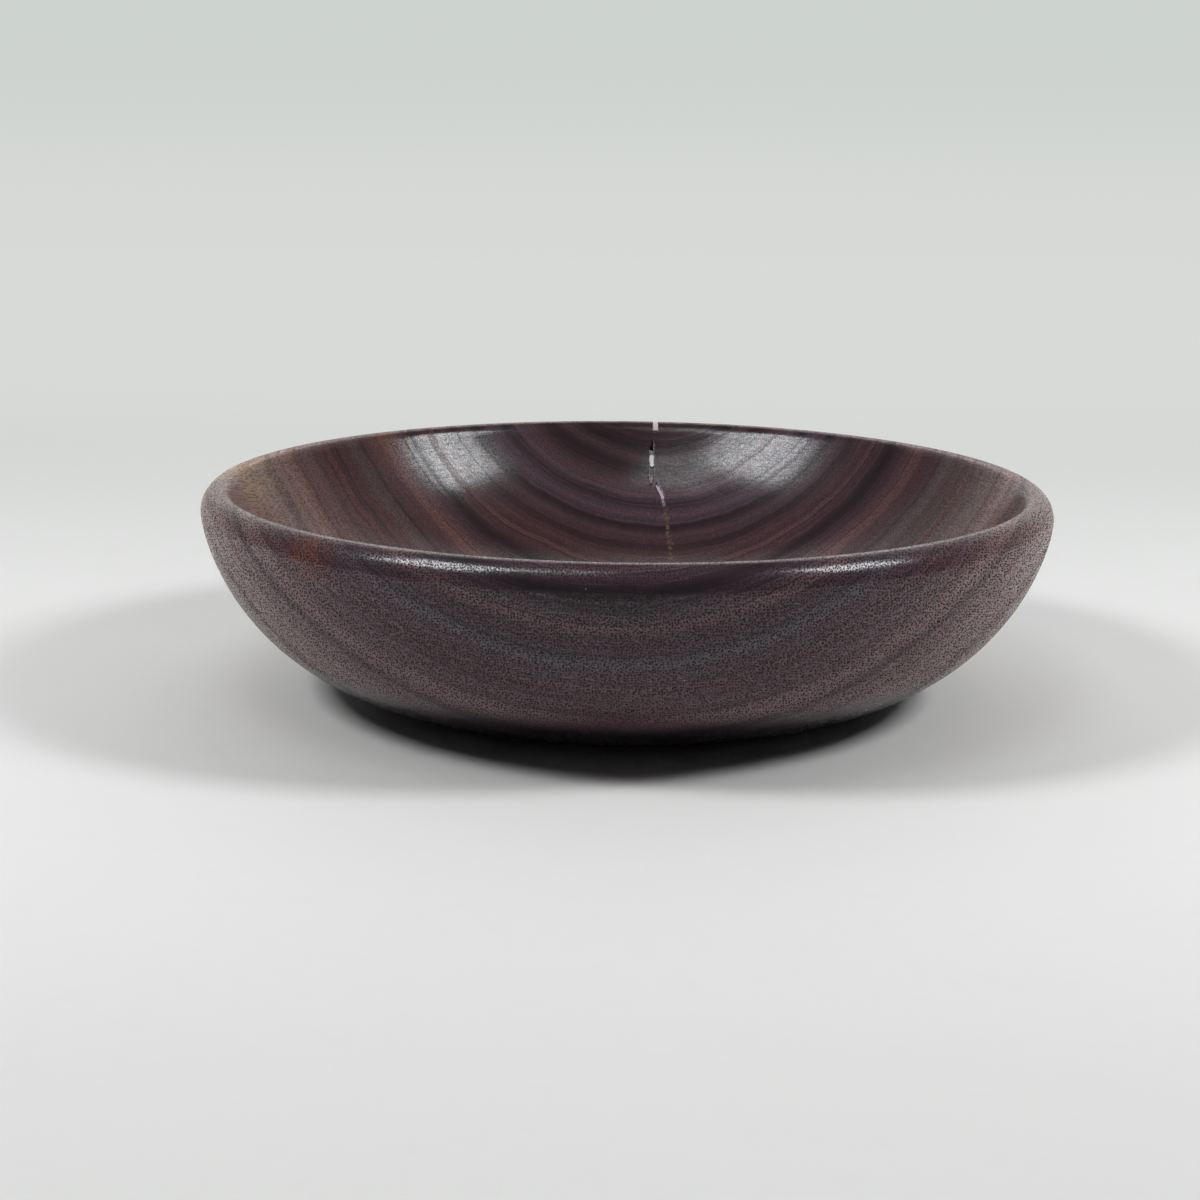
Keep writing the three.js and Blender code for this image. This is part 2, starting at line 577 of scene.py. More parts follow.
class WoodTone(Enum):
    """The tones of the wood, of the crack in it and of the dust on it, as linear colours, with painted shade
    for the crack's opening.
    """

    PORE = (0.026, 0.015, 0.010)
    INK = (0.014, 0.008, 0.013)
    UMBER = (0.033, 0.019, 0.025)
    PLUM = (0.054, 0.034, 0.041)
    ASH = (0.076, 0.059, 0.063)
    HEATHER = (0.074, 0.050, 0.070)
    DRIFT = (0.150, 0.112, 0.125)
    CHESTNUT = (0.070, 0.037, 0.042)
    RUSSET = (0.091, 0.045, 0.043)
    EMBER = (0.172, 0.062, 0.041)
    MAUVE = (0.113, 0.064, 0.061)
    FAWN = (0.180, 0.114, 0.101)
    SAP = (0.440, 0.265, 0.120)
    # Painted shade for the crack's opening.
    PAINTED_CRACK_SHADE = (0.028, 0.018, 0.027)
    HAIRLINE = (0.110, 0.068, 0.044)
    DUST = (0.34, 0.32, 0.33)

    @property
    def colour(self) -> tuple[float, float, float, float]:
        """The tone as a colour socket takes it."""
        return opaque(self.value)


@dataclass(frozen=True)
class GrowthBand:
    """A tone at a distance from the tree's pith, in millimetres."""

    radius: float
    tone: WoodTone


@dataclass(frozen=True)
class Blotch:
    """A warm stain in the heartwood, in millimetres from the middle of the base."""

    place: tuple[float, float, float]
    reach: float
    depth: float


@dataclass(frozen=True)
class WoodFinish:
    """Dark figured wood, sanded and oiled to a satin gloss, with open pores along its grain.

    The pith is the middle of the tree's rings: a line past the dish, above it, that the grain follows.
    Places in the grain are in millimetres about the pith, with Y along it. The run is the way along the
    dish's section from the crest of the rim, in metres, and it is more than 0 inside the dish.
    """

    # The pith at the far and near walls, and the sway of the rings about it
    pith_far: Vector = field(default_factory=lambda: Vector((mm(6.59), mm(83.0), mm(69.85))))
    pith_near: Vector = field(default_factory=lambda: Vector((mm(-3.21), mm(-88.0), mm(105.18))))
    broad_sway: Noise = Noise((0.030, 0.010, 0.030))
    broad_reach: float = 3.0
    fine_sway: Noise = Noise((0.20, 0.02, 0.20))
    fine_reach: float = 1.0

    # Bands, then dark, pale and fine lines that come and go along the rings
    band_span: float = 120.0
    bands: tuple[GrowthBand, ...] = (
        GrowthBand(28.0, WoodTone.UMBER),
        GrowthBand(31.5, WoodTone.INK),
        GrowthBand(33.8, WoodTone.PLUM),
        GrowthBand(36.0, WoodTone.INK),
        GrowthBand(38.5, WoodTone.UMBER),
        GrowthBand(40.2, WoodTone.PLUM),
        GrowthBand(43.6, WoodTone.HEATHER),
        GrowthBand(45.2, WoodTone.INK),
        GrowthBand(47.6, WoodTone.HEATHER),
        GrowthBand(50.8, WoodTone.INK),
        GrowthBand(52.9, WoodTone.PLUM),
        GrowthBand(55.6, WoodTone.UMBER),
        GrowthBand(60.5, WoodTone.CHESTNUT),
        GrowthBand(64.6, WoodTone.INK),
        GrowthBand(67.6, WoodTone.PLUM),
        GrowthBand(70.8, WoodTone.MAUVE),
        GrowthBand(72.6, WoodTone.CHESTNUT),
        GrowthBand(75.4, WoodTone.PLUM),
        GrowthBand(77.2, WoodTone.ASH),
        GrowthBand(79.6, WoodTone.CHESTNUT),
        GrowthBand(81.0, WoodTone.CHESTNUT),
        GrowthBand(82.6, WoodTone.RUSSET),
        GrowthBand(84.4, WoodTone.CHESTNUT),
        GrowthBand(86.6, WoodTone.MAUVE),
        GrowthBand(90.0, WoodTone.FAWN),
        GrowthBand(92.5, WoodTone.MAUVE),
        GrowthBand(96.0, WoodTone.FAWN),
    )
    coming: Noise = Noise((0.05, 0.012, 0.05))
    dark_rings: Noise = Noise(0.6, 3.0, 0.6)
    dark_share: Fade = Fade(0.50, 0.33)
    dark_coming: Fade = Fade(0.3, 0.7, 0.25, 0.65)
    pale_rings: Noise = Noise(0.85, 2.0, 0.6)
    pale_share: Fade = Fade(0.60, 0.74)
    pale_coming: Fade = Fade(0.62, 0.40, 0.0, 0.24)
    fine_rings: Noise = Noise(2.4, 2.0, 0.6)
    fibres: Noise = Noise((0.9, 0.05, 0.9), 3.0, 0.6)
    light_swing: float = 0.7
    light_least: float = 0.65

    # Drift of the colour along and across the grain
    far_tint: Colour = (1.10, 0.89, 0.86)
    far_right_tint: Colour = (1.23, 1.06, 1.10)
    near_tint: Colour = (1.04, 1.03, 1.28)
    to_right: Fade = Fade(-20.0, 40.0)
    to_near: Fade = Fade(-70.0, -150.0)

    # Warm stains with frayed edges
    blotches: tuple[Blotch, ...] = (
        Blotch((-59.5, -67.0, 42.5), 8.5, 0.76),
        Blotch((-57.0, 61.0, 42.0), 11.0, 0.40),
    )
    fray: Noise = Noise((0.45, 0.08, 0.45), 3.0, 0.6)
    fray_reach: float = mm(16)

    # Pale sapwood past the heartwood, with a feathered edge that leans along the grain
    sap_radius: Fade = Fade(95.5, 101.0)
    sap_lean: float = 0.17
    sap_origin: float = 83.0
    sap_height: Fade = Fade(mm(33), mm(44), 0.10, 1.0)
    feather: Noise = Noise((0.5, 0.06, 0.5), 3.0, 0.6)
    feather_reach: float = 5.0

    # Painted shade darkening the outer wall above the foot
    foot_shade_height: Fade = Fade(mm(14.5), mm(7.0), 0.0, 0.95)
    foot_shade_outside: Fade = Fade(mm(-15.0), mm(-25.0))
    foot_shade_beneath: Fade = Fade(mm(-63.0), mm(-68.0), 1.0, 0.35)

    # Open pores: long tubes along the grain, each broken into short lengths
    pore_pitch: float = 0.52
    pore_scatter: float = 0.75
    pore_length: float = 2.2
    pore_sway: Noise = Noise((0.10, 0.16, 0.10))
    pore_rings: Noise = Noise(0.42, 3.0, 0.6)
    pore_crowding: Fade = Fade(0.32, 0.70, 0.95, 1.10)
    pore_growth: float = 0.17
    pore_least: float = 0.33
    pore_core: float = 0.5
    pore_apart: float = 3.1
    pore_cut: Fade = Fade(0.31, 0.44)
    pore_shade: Fade = Fade(mm(-1.5), mm(0.8), 1.0, 0.45)
    pore_break: Fade = Fade(mm(-3.0), mm(0.0), 0.9, 0.45)

    # Oiled polish, worn in flecks and along rings, and whole on the rim
    gloss: float = 0.19
    oil_ior: float = 1.61
    specular: float = 0.12
    roughness: float = 0.45
    pore_roughness: float = 0.3
    specks: Noise = Noise((2.7, 0.9, 2.7), 2.0, 0.8)
    speck_share: Fade = Fade(0.54, 0.44, 0.0, 0.95)
    flecks: Noise = Noise((0.5 / mm(1.1), 1.7 / mm(1.1), 0.0), 3.0, 0.7)
    fleck_wear: Fade = Fade(0.36, 0.62, 0.62, 1.0)
    worn_rings: Noise = Noise(0.55, 3.0, 0.65)
    ring_wear: Fade = Fade(0.36, 0.50, 0.55, 1.0)
    rim_middle: float = mm(-3.5)
    rim_polish: Fade = Fade(mm(5.0), mm(2.5))

    # Turning marks, the crack's hairline and dust
    relief: float = mm(0.10)
    tool_marks: Noise = Noise(1.0 / mm(0.8), 2.0, 0.6)
    tool_patches: Noise = Noise(0.06)
    tool_share: Fade = Fade(0.40, 0.65, 0.2, 0.9)
    tool_height: float = 0.42
    hairline: Noise = Noise(0.9, 3.0)
    hairline_share: Fade = Fade(0.38, 0.62)
    dust_pitch: float = mm(5.5)
    dust_size: float = 0.04
    dust_core: float = 0.5
    dust_cover: float = 0.8

    def material(self) -> bpy.types.Material:
        """The finish as a material.

        Returns:
            A material that reads object coordinates, the run and the crack's marks.
        """
        material, bench = new_material("figured_wood")
        grain = self._grain_space(bench)
        ring = self._ring_radius(bench, grain)
        run = bench.mark("run")
        # Painted shade above the foot: it fades the pores and mixes the outer wall towards INK.
        foot_shade = self._painted_foot_shade(bench, run)
        pores = bench.times(self._pores(bench, grain, ring), bench.math("SUBTRACT", 1.0, foot_shade))
        shaded = bench.times(pores, bench.fade(run, self.pore_shade))
        colour = self._drifted(bench, self._figure(bench, grain, ring), grain)
        colour = self._stained(bench, colour, grain)
        colour = self._sapwood(bench, colour, grain, ring)
        colour = bench.mix(shaded, colour, WoodTone.PORE.colour)
        # Painted shade above the foot, towards INK.
        colour = bench.mix(foot_shade, colour, WoodTone.INK.colour)
        colour = self._crack_colour(bench, colour, grain)
        colour = bench.mix(self._dust(bench), colour, WoodTone.DUST.colour)
        marks = bench.times(self._tool_marks(bench, grain, run), self.tool_height)
        bench.surface({
            "Base Color": colour,
            "Roughness": bench.line(pores, self.pore_roughness, self.roughness),
            "Normal": bench.bump(bench.math("SUBTRACT", marks, shaded), self.relief),
            "Specular IOR Level": self.specular,
            "Coat Weight": self._polish(bench, grain, ring, pores, run),
            "Coat Roughness": self.gloss,
            "Coat IOR": self.oil_ior,
        })
        return material

    def _polish(self, bench: NodeBench, grain: Socket, ring: Socket, pores: Socket, run: Socket) -> Socket:
        """How well the oil's polish covers the wood, from 0 in an open pore to 1, with no wear on the rim.

        Args:
            bench: The bench of the material's nodes.
            grain: Places in the grain.
            ring: The distance from the pith.
            pores: How open the pores are.
            run: The way along the section from the crest of the rim.

        Returns:
            The weight of the coat.
        """
        sideways = bench.parts(bench.here())["X"]
        flecks = bench.noise(bench.join(sideways, run), self.flecks)
        soft = bench.fade(bench.line_noise(ring, self.worn_rings), self.ring_wear)
        worn = bench.times(bench.fade(flecks, self.fleck_wear), soft)
        off_rim = bench.math("ABSOLUTE", bench.math("SUBTRACT", run, self.rim_middle))
        worn = bench.math("MAXIMUM", worn, bench.fade(off_rim, self.rim_polish))
        specks = bench.fade(bench.noise(grain, self.specks), self.speck_share)
        bare = bench.times(bench.math("MAXIMUM", pores, specks), bench.fade(run, self.pore_break))
        return bench.math("MULTIPLY", bench.math("SUBTRACT", 1.0, bare), worn, clamp=True)

    def _grain_space(self, bench: NodeBench) -> Socket:
        """Places in millimetres about the pith, with Y along the grain.

        Args:
            bench: The bench of the material's nodes.

        Returns:
            The place in the grain.
        """
        along = (self.pith_far - self.pith_near).normalized()
        tilt = math.asin(along.z)
        turn = math.atan2(-along.x, along.y)
        feeds = {
            "Vector": bench.here(),
            "Location": self.pith_far,
            "Rotation": (tilt, 0.0, turn),
            "Scale": (MILLIMETRE,) * 3,
        }
        return bench.node("ShaderNodeMapping", feeds, vector_type="TEXTURE").outputs[0]

    def _ring_radius(self, bench: NodeBench, grain: Socket) -> Socket:
        """The distance from the pith, with the slow wander of real rings.

        Args:
            bench: The bench of the material's nodes.
            grain: Places in the grain.

        Returns:
            The distance, in millimetres.
        """
        radius = bench.length(bench.vector_math("MULTIPLY", grain, (1.0, 0.0, 1.0)))
        sway = bench.line(bench.noise(grain, self.broad_sway), self.broad_reach, -self.broad_reach / 2)
        quiver = bench.line(bench.noise(grain, self.fine_sway), self.fine_reach, -self.fine_reach / 2)
        return bench.math("ADD", radius, bench.math("ADD", sway, quiver))

    def _figure(self, bench: NodeBench, grain: Socket, ring: Socket) -> Socket:
        """The colour of the bare wood: bands, fine ring lines and fibre streaks.

        Args:
            bench: The bench of the material's nodes.
            grain: Places in the grain.
            ring: The distance from the pith.

        Returns:
            The colour.
        """
        ramp = bench.node("ShaderNodeValToRGB", {0: bench.math("DIVIDE", ring, self.band_span)})
        stops = ramp.color_ramp.elements
        stops.remove(stops[1])
        for index, band in enumerate(self.bands):
            place = band.radius / self.band_span
            stop = stops[0] if index == 0 else stops.new(place)
            stop.position = place
            stop.color = band.tone.colour
        coming = bench.noise(grain, self.coming)
        dark = bench.fade(bench.line_noise(ring, self.dark_rings), self.dark_share)
        dark = bench.times(dark, bench.fade(coming, self.dark_coming))
        colour = bench.mix(dark, ramp.outputs[0], WoodTone.INK.colour)
        pale = bench.fade(bench.line_noise(ring, self.pale_rings), self.pale_share)
        pale = bench.times(pale, bench.fade(coming, self.pale_coming))
        colour = bench.mix(pale, colour, WoodTone.DRIFT.colour)
        lines = bench.line(bench.line_noise(ring, self.fine_rings), self.light_swing, self.light_least)
        streaks = bench.line(bench.noise(grain, self.fibres), self.light_swing, self.light_least)
        light = bench.times(lines, streaks)
        grey = bench.node("ShaderNodeCombineColor", {0: light, 1: light, 2: light}).outputs[0]
        return bench.mix(1.0, colour, grey, "MULTIPLY")

    def _drifted(self, bench: NodeBench, colour: Socket, grain: Socket) -> Socket:
        """The figure's colour drifting along the grain, from warm at the far left to cool at the near end.

        Args:
            bench: The bench of the material's nodes.
            colour: The wood's colour so far.
            grain: Places in the grain.

        Returns:
            The tinted colour.
        """
        place = bench.parts(grain)
        right = bench.fade(place["X"], self.to_right)
        far = bench.mix(right, opaque(self.far_tint), opaque(self.far_right_tint))
        tint = bench.mix(bench.fade(place["Y"], self.to_near), far, opaque(self.near_tint))
        return bench.mix(1.0, colour, tint, "MULTIPLY")

    def _stained(self, bench: NodeBench, colour: Socket, grain: Socket) -> Socket:
        """The figure with the warm stains laid over it, frayed along the grain.

        Args:
            bench: The bench of the material's nodes.
            colour: The wood's colour so far.
            grain: Places in the grain.

        Returns:
            The stained colour.
        """
        here = bench.here()
        fray = bench.line(bench.noise(grain, self.fray), self.fray_reach, -self.fray_reach / 2)
        for blotch in self.blotches:
            middle = tuple(mm(part) for part in blotch.place)
            away = bench.math("ADD", bench.length(bench.vector_math("SUBTRACT", here, middle)), fray)
            share = bench.fade(away, Fade(mm(blotch.reach), 0.0, 0.0, blotch.depth))
            colour = bench.mix(share, colour, WoodTone.EMBER.colour)
        return colour

    def _sapwood(self, bench: NodeBench, colour: Socket, grain: Socket, ring: Socket) -> Socket:
        """The heartwood's colour with pale sapwood over the outermost rings, mostly at the far side.

        Args:
            bench: The bench of the material's nodes.
            colour: The wood's colour so far.
            grain: Places in the grain.
            ring: The distance from the pith.

        Returns:
            The colour of both woods.
        """
        lean = bench.line(bench.parts(grain)["Y"], self.sap_lean, self.sap_lean * self.sap_origin)
        feather = bench.line(bench.noise(grain, self.feather), self.feather_reach, -self.feather_reach / 2)
        edge = bench.math("ADD", bench.math("ADD", ring, lean), feather)
        high = bench.fade(bench.parts(bench.here())["Z"], self.sap_height)
        share = bench.times(bench.fade(edge, self.sap_radius), high)
        return bench.mix(share, colour, WoodTone.SAP.colour)

    def _painted_foot_shade(self, bench: NodeBench, run: Socket) -> Socket:
        """How much painted shade darkens the outer wall towards the foot, from 0 to 1.

        Args:
            bench: The bench of the material's nodes.
            run: The way along the section from the crest of the rim.

        Returns:
            The share of the painted shade.
        """
        low = bench.fade(bench.parts(bench.here())["Z"], self.foot_shade_height)
        outside = bench.fade(run, self.foot_shade_outside)
        beneath = bench.fade(run, self.foot_shade_beneath)
        return bench.times(low, bench.times(outside, beneath))

    def _dust(self, bench: NodeBench) -> Socket:
        """Where a few specks of pale dust lie, from 0 to 1.

        Args:
            bench: The bench of the material's nodes.

        Returns:
            The share of the dust.
        """
        cells = bench.node("ShaderNodeTexVoronoi", {"Vector": bench.here(), "Scale": 1.0 / self.dust_pitch})
        size = bench.node("ShaderNodeSeparateColor", {0: cells.outputs["Color"]}).outputs[0]
        reach = bench.times(size, self.dust_size)
        edge = Fade(reach, bench.times(reach, self.dust_core), 0.0, self.dust_cover)
        return bench.fade(cells.outputs["Distance"], edge)

    def _tool_marks(self, bench: NodeBench, grain: Socket, run: Socket) -> Socket:
        """The height of the faint rings that the turning tool left, in patches."""
        patch = bench.fade(bench.noise(grain, self.tool_patches), self.tool_share)
        return bench.times(bench.line_noise(run, self.tool_marks), patch)

    def _pores(self, bench: NodeBench, grain: Socket, ring: Socket) -> Socket:
        """Where the open pores are cut through, from 0 to 1: tubes along the grain, crowded in some rings.

        Args:
            bench: The bench of the material's nodes.
            grain: Places in the grain.
            ring: The distance from the pith.

        Returns:
            The share of open pore.
        """
        place = bench.parts(grain)
        swayed = bench.math("ADD", place["X"], bench.noise(grain, self.pore_sway))
        feeds = {
            "Vector": bench.join(swayed, place["Z"]),
            "Scale": 1.0 / self.pore_pitch,
            "Randomness": self.pore_scatter,
        }
        cells = bench.node("ShaderNodeTexVoronoi", feeds, voronoi_dimensions="2D").outputs
        crowd = bench.fade(bench.line_noise(ring, self.pore_rings), self.pore_crowding)
        size = bench.node("ShaderNodeSeparateColor", {0: cells["Color"]}).outputs[0]
        reach = bench.times(bench.line(size, self.pore_growth, self.pore_least), crowd)
        tubes = bench.fade(cells["Distance"], Fade(reach, bench.times(reach, self.pore_core)))
        middle = bench.parts(cells["Position"])
        own = bench.join(
            bench.times(middle["X"], self.pore_apart),
            bench.math("DIVIDE", place["Y"], self.pore_length),
            bench.times(middle["Y"], self.pore_apart),
        )
        return bench.times(tubes, bench.fade(bench.noise(own, Noise(1.0)), self.pore_cut))

    def _crack_colour(self, bench: NodeBench, colour: Socket, grain: Socket) -> Socket:
        """The wood's colour with painted shade in the crack's opening and the tan hairline laid over it.

        Args:
            bench: The bench of the material's nodes.
            colour: The wood's colour so far.
            grain: Places in the grain.

        Returns:
            The colour of the wood and the crack.
        """
        broken = bench.fade(bench.noise(grain, self.hairline), self.hairline_share)
        hairline = bench.times(bench.mark("hairline"), broken)
        colour = bench.mix(hairline, colour, WoodTone.HAIRLINE.colour)
        # Painted shade in the crack's opening.
        return bench.mix(bench.mark("gape"), colour, WoodTone.PAINTED_CRACK_SHADE.colour)


@dataclass(frozen=True)
class FillerFinish:
    """Pale filler, rubbed flush, darker in uneven patches and where its mesh's stain is high."""

    name: str
    pale: Colour
    stained: Colour
    rough: float = 0.55
    patch: float = mm(0.7)
    relief: float = mm(0.06)

    def material(self) -> bpy.types.Material:
        """The finish as a material.

        Returns:
            A material that reads object coordinates and the mesh's stain.
        """
        material, bench = new_material(self.name)
        mottle = mottled(bench, self.patch, self.pale, self.stained, bench.mark("stain"))
        bench.surface({
            "Base Color": mottle["Colour"],
            "Roughness": self.rough,
            "Normal": bench.bump(mottle["Cloud"], self.relief),
        })
        return material


def mottling_group() -> bpy.types.NodeTree:
    """The shader group for uneven patches of two colours, built once.

    Returns:
        A group with Place, Patch, First, Second and Balance in, and Colour and Cloud out.
    """
    name = "mottling"
    if name in bpy.data.node_groups:
        return bpy.data.node_groups[name]
    tree = bpy.data.node_groups.new(name, "ShaderNodeTree")
    add_ports(tree, "INPUT", {
        "Place": "NodeSocketVector",
        "Patch": "NodeSocketFloat",
        "First": "NodeSocketColor",
        "Second": "NodeSocketColor",
        "Balance": "NodeSocketFloat",
    })
    add_ports(tree, "OUTPUT", {"Colour": "NodeSocketColor", "Cloud": "NodeSocketFloat"})
    edge = 0.85
    blend = 0.3
    bench = NodeBench(tree)
    given = bench.node("NodeGroupInput").outputs
    size = bench.math("DIVIDE", 1.0, given["Patch"])
    feeds = {"Vector": given["Place"], "Scale": size, "Detail": 4.0, "Roughness": 0.6}
    cloud = bench.node("ShaderNodeTexNoise", feeds, noise_dimensions="3D").outputs[0]
    low = bench.math("SUBTRACT", edge, given["Balance"])
    share = bench.fade(cloud, Fade(low, bench.math("ADD", low, blend)))
    colour = bench.mix(share, given["First"], given["Second"])
    bench.node("NodeGroupOutput", {"Colour": colour, "Cloud": cloud})
    return tree


def mottled(
    bench: NodeBench, patch: float, first: Colour, second: Colour, balance: Feed
) -> bpy.types.NodeOutputs:
    """Uneven patches of two colours on a material.

    Args:
        bench: The bench of the material's nodes.
        patch: The size of the patches.
        first: The colour where the balance is low.
        second: The colour where it is high.
        balance: The share of the second colour.

    Returns:
        The group's Colour and Cloud.
    """
    feeds = {
        "Place": bench.here(),
        "Patch": patch,
        "First": opaque(first),
        "Second": opaque(second),
        "Balance": balance,
    }
    return bench.node("ShaderNodeGroup", feeds, node_tree=mottling_group()).outputs


@dataclass
class TurnedBowl:
    """The bowl: its section turned about the upright axis, then split by the crack."""

    section: DishSection
    crack: DryingCrack
    finish: WoodFinish
    turn_steps: int = 360
    gather: float = 0.9  # crowds the steps of the turn round one azimuth, where the crack is
    gather_azimuth: float = math.radians(6.0)
    weld: float = 1e-7

    def build(self) -> bpy.types.Object:
        """Turns the section, opens the crack and puts the bowl in the CAD bowl's place.

        Returns:
            The finished bowl.
        """
        wood = self.finish.material()
        pattern = place_piece("bowl_section", self._section_mesh())
        turning = pattern.modifiers.new("turning", "NODES")
        turning.node_group = self._lathe_tree()
        given = {
            "Turn Steps": self.turn_steps,
            "Gather": self.gather,
            "Gather Azimuth": self.gather_azimuth,
            "Weld Distance": self.weld,
            "Wood": wood,
        }
        for item in turning.node_group.interface.items_tree:
            if item.name in given:
                turning[item.identifier] = given[item.name]
        shaped = pattern.evaluated_get(bpy.context.evaluated_depsgraph_get())
        mesh = bpy.data.meshes.new_from_object(shaped)
        bpy.data.objects.remove(pattern)
        self.crack.carve(mesh)
        bowl = place_piece("turned_bowl", mesh)
        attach(bowl, BODY)
        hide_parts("bowl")
        LOG.info("%s: %d faces", bowl.name, len(mesh.polygons))
        return bowl

    def _section_mesh(self) -> bpy.types.Mesh:
        """The section as a chain of edges, with the way along it from the crest in the attribute "run".

        Returns:
            The section's mesh.
        """
        outline = self.section.outline()
        points = [(radius, 0.0, height) for radius, height in outline]
        edges = [(index, index + 1) for index in range(len(points) - 1)]
        mesh = bpy.data.meshes.new("bowl_section")
        mesh.from_pydata(points, edges, [])
        lengths = np.linalg.norm(np.diff(outline, axis=0), axis=1)
        run = np.concatenate([[0.0], np.cumsum(lengths)])
        run -= run[np.argmin(np.linalg.norm(outline - self.section.crest, axis=1))]
        mesh.attributes.new("run", "FLOAT", "POINT").data.foreach_set("value", run.astype(np.float32))
        return mesh

    def _lathe_tree(self) -> bpy.types.NodeTree:
        """The Geometry Nodes tree that turns a section into a closed body.

        Returns:
            A tree with inputs for the steps, their gathering at one azimuth, the weld and the wood.
        """
        tree = bpy.data.node_groups.new("turned_on_lathe", "GeometryNodeTree")
        tree.is_modifier = True
        add_ports(tree, "INPUT", {
            "Section": "NodeSocketGeometry",
            "Turn Steps": "NodeSocketInt",
            "Gather": "NodeSocketFloat",
            "Gather Azimuth": "NodeSocketFloat",
            "Weld Distance": "NodeSocketFloat",
            "Wood": "NodeSocketMaterial",
        })
        add_ports(tree, "OUTPUT", {"Bowl": "NodeSocketGeometry"})
        bench = NodeBench(tree)
        given = bench.node("NodeGroupInput").outputs
        rows = bench.node("GeometryNodeAttributeDomainSize", {0: given["Section"]}).outputs["Point Count"]
        columns = bench.math("ADD", given["Turn Steps"], 1.0)
        sheet = bench.node("GeometryNodeMeshGrid", {"Vertices X": columns, "Vertices Y": rows})
        index = bench.node("GeometryNodeInputIndex").outputs[0]
        column = bench.math("FLOOR", bench.math("DIVIDE", index, rows))
        row = bench.math("MODULO", index, rows)
        turn = bench.times(bench.math("DIVIDE", column, given["Turn Steps"]), math.tau)
        turn = bench.math("SUBTRACT", turn, math.pi)
        pull = bench.times(bench.math("SINE", turn), given["Gather"])
        azimuth = bench.math("ADD", bench.math("SUBTRACT", turn, pull), given["Gather Azimuth"])

        spot = bench.node("GeometryNodeInputPosition").outputs[0]
        sampled = bench.node("GeometryNodeSampleIndex", {0: given["Section"]}, data_type="FLOAT_VECTOR")
        bench.feed(sampled.inputs["Value"], spot)
        bench.feed(sampled.inputs["Index"], row)
        part = bench.parts(sampled.outputs[0])
        sideways = bench.times(part["X"], bench.math("SINE", azimuth))
        away = bench.times(part["X"], bench.math("COSINE", azimuth))
        turned = bench.join(sideways, away, part["Z"])

        run = bench.node("GeometryNodeInputNamedAttribute", {"Name": "run"}, data_type="FLOAT").outputs[0]
        run_there = bench.node("GeometryNodeSampleIndex", {0: given["Section"]}, data_type="FLOAT")
        bench.feed(run_there.inputs["Value"], run)
        bench.feed(run_there.inputs["Index"], row)
        marked = bench.node(
            "GeometryNodeStoreNamedAttribute",
            {"Geometry": sheet.outputs["Mesh"], "Name": "run", "Value": run_there.outputs[0]},
            data_type="FLOAT",
            domain="POINT",
        )
        placed = bench.node("GeometryNodeSetPosition", {"Geometry": marked.outputs[0], "Position": turned})
        welded = bench.node(
            "GeometryNodeMergeByDistance", {"Geometry": placed.outputs[0], "Distance": given["Weld Distance"]}
        )
        smooth = bench.node(
            "GeometryNodeSetShadeSmooth", {"Geometry": welded.outputs[0], "Shade Smooth": True}
        )
        whole = bench.node("GeometryNodeRealizeInstances", {"Geometry": smooth.outputs[0]})
        dressed = bench.node(
            "GeometryNodeSetMaterial", {"Geometry": whole.outputs[0], "Material": given["Wood"]}
        )
        bench.node("NodeGroupOutput", {"Bowl": dressed.outputs[0]})
        return tree


def closed_shell(name: str, front: np.ndarray, back: np.ndarray, stain: np.ndarray) -> bpy.types.Mesh:
    """A closed body between two sheets of points with the same rows and columns.

    Args:
        name: The mesh's name.
        front: The points of the sheet that shows, by row and column.
        back: The points of the sheet behind it.
        stain: How stained the body is at each row and column, from 0 to 1.

    Returns:
        The body's mesh, with its faces pointing out.
    """
    rows, columns = front.shape[:2]
    size = rows * columns
    points = np.vstack([front.reshape(-1, 3), back.reshape(-1, 3)])
    faces = []
    for row in range(rows - 1):
        for column in range(columns - 1):
            first = row * columns + column
            quad = (first, first + 1, first + columns + 1, first + columns)
            faces.append(quad)
            faces.append(tuple(corner + size for corner in reversed(quad)))
    edge = list(range(columns))
    edge += [row * columns + columns - 1 for row in range(1, rows)]
    edge += [(rows - 1) * columns + column for column in range(columns - 2, -1, -1)]
    edge += [row * columns for row in range(rows - 2, 0, -1)]
    for start, end in zip(edge, edge[1:] + edge[:1]):
        faces.append((end, start, start + size, end + size))
    mesh = bpy.data.meshes.new(name)
    mesh.from_pydata([tuple(point) for point in points], [], faces)
    mesh.polygons.foreach_set("use_smooth", [True] * len(mesh.polygons))
    stains = np.tile(stain.ravel(), 2).astype(np.float32)
    mesh.attributes.new("stain", "FLOAT", "POINT").data.foreach_set("value", stains)
    mesh.update()
    return mesh


@dataclass
class FillerPiece:
    """A piece of filler in one strand of the crack."""

    COLUMNS = 11
    LUMP_PITCH = mm(0.5)
    LUMP_SEED = 5

    name: str
    node: str
    section: DishSection
    strand: CrackStrand
    finish: FillerFinish

    def build(self) -> bpy.types.Object:
        """Makes the piece, dresses it and puts it in its CAD solid's place.

        Returns:
            The finished piece.
        """
        mesh = closed_shell(self.name, *self._sheets())
        mesh.materials.append(self.finish.material())
        piece = place_piece(self.name, mesh)
        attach(piece, BODY)
        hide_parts(self.node)
        LOG.info("%s: %d faces", piece.name, len(mesh.polygons))
        return piece

    def _sheets(self) -> tuple[np.ndarray, np.ndarray, np.ndarray]:
        """The sheet of points that shows, the one behind it, and how stained the filler is."""
        raise NotImplementedError

    def _across(self) -> np.ndarray:
        """The columns' places across the strand, from -1 to 1."""
        return np.linspace(-1.0, 1.0, self.COLUMNS)[None, :]

    def _lumps(self, along: np.ndarray) -> np.ndarray:
        """The filler's unevenness at places along it, from -1 to 1."""
        return ragged(along, self.LUMP_PITCH, self.strand.seed + self.LUMP_SEED)


